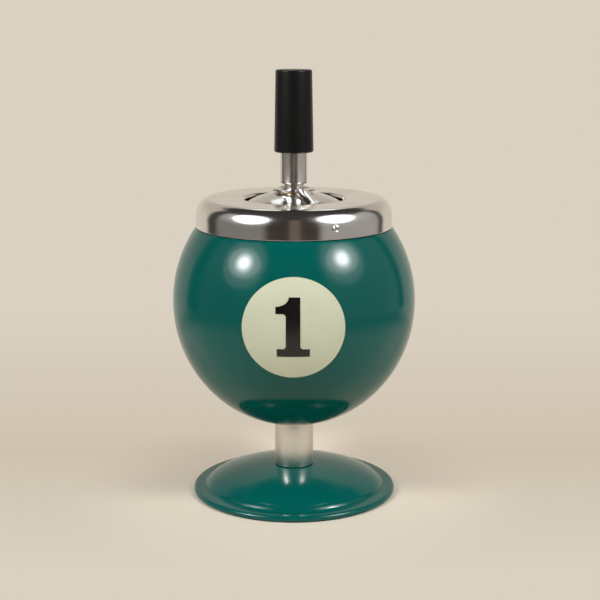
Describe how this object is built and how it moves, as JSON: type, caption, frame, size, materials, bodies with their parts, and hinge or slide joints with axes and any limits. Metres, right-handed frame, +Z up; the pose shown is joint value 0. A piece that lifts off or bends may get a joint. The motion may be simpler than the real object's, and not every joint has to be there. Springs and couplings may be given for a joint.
{
  "type": "push-down spinning ashtray",
  "caption": "Push-down spinning ashtray shaped as a numbered pool ball on a pedestal foot: pressing the handle drops and turns the rotor in the bright lid.",
  "frame": {"origin": "centre of the foot, on the surface that it stands on", "axes": "+Z up along the stem; the figure on the ball faces -Y; +X to the right of the figure"},
  "size_m": [0.11, 0.1107, 0.1937],
  "materials": {
    "green_enamel": "deep teal-green semi-gloss enamel",
    "cream_enamel": "cream enamel, satin",
    "black_enamel": "black enamel print, satin",
    "chrome": "bright plated sheet with fine handling marks",
    "satin_nickel": "satin nickel plate",
    "zinc": "dull zinc plate",
    "spring_steel": "drawn wire",
    "brass": "turned",
    "black_plastic": "black moulded plastic, satin",
    "white_nylon": "natural nylon",
    "black_rubber": "matt"
  },
  "bodies": {
    "stand": {"foot_plate": "green_enamel", "foot_pad": "black_rubber", "foot_washer": "zinc", "foot_nut": "zinc", "pedestal_tube": "satin_nickel", "lower_plug": "white_nylon", "upper_plug": "white_nylon", "tie_rod": "zinc", "bowl_washer": "zinc", "bowl_nut": "zinc", "ball_shell": "green_enamel", "ball_neck": "green_enamel", "number_disc": "cream_enamel", "number_figure": "black_enamel"},
    "lid": {"lid_cap": "chrome", "stirrup": "zinc", "rivet_front": "chrome", "rivet_back": "chrome", "spindle": "zinc", "spindle_washer": "zinc", "spindle_nut": "zinc", "spring_seat": "zinc", "return_spring": "spring_steel"},
    "plunger": {"handle": "black_plastic", "stem": "satin_nickel", "stem_clip": "spring_steel", "thrust_washer": "white_nylon"},
    "spinner": {"rotor": "chrome", "rotor_bush": "brass", "drive_plate": "zinc"}
  },
  "joints": [
    {"name": "lid_lift", "type": "slide", "parent": "stand", "child": "lid", "axis": [0, 0, 1], "range_m": [0, 0.05]},
    {"name": "plunger_press", "type": "slide", "parent": "lid", "child": "plunger", "axis": [0, 0, -1], "range_m": [0, 0.014], "stiffness_N_per_m": 250, "springref_m": -0.01, "deforming": ["return_spring"]},
    {"name": "spinner_spin", "type": "hinge", "parent": "plunger", "child": "spinner", "pos_m": [0, 0, 0.1325], "axis": [0, 0, 1], "range_deg": [-180, 0]}
  ],
  "couplings": [
    {"joint": "spinner_spin", "follows": "plunger_press", "rad_per_m": -220.46}
  ]
}
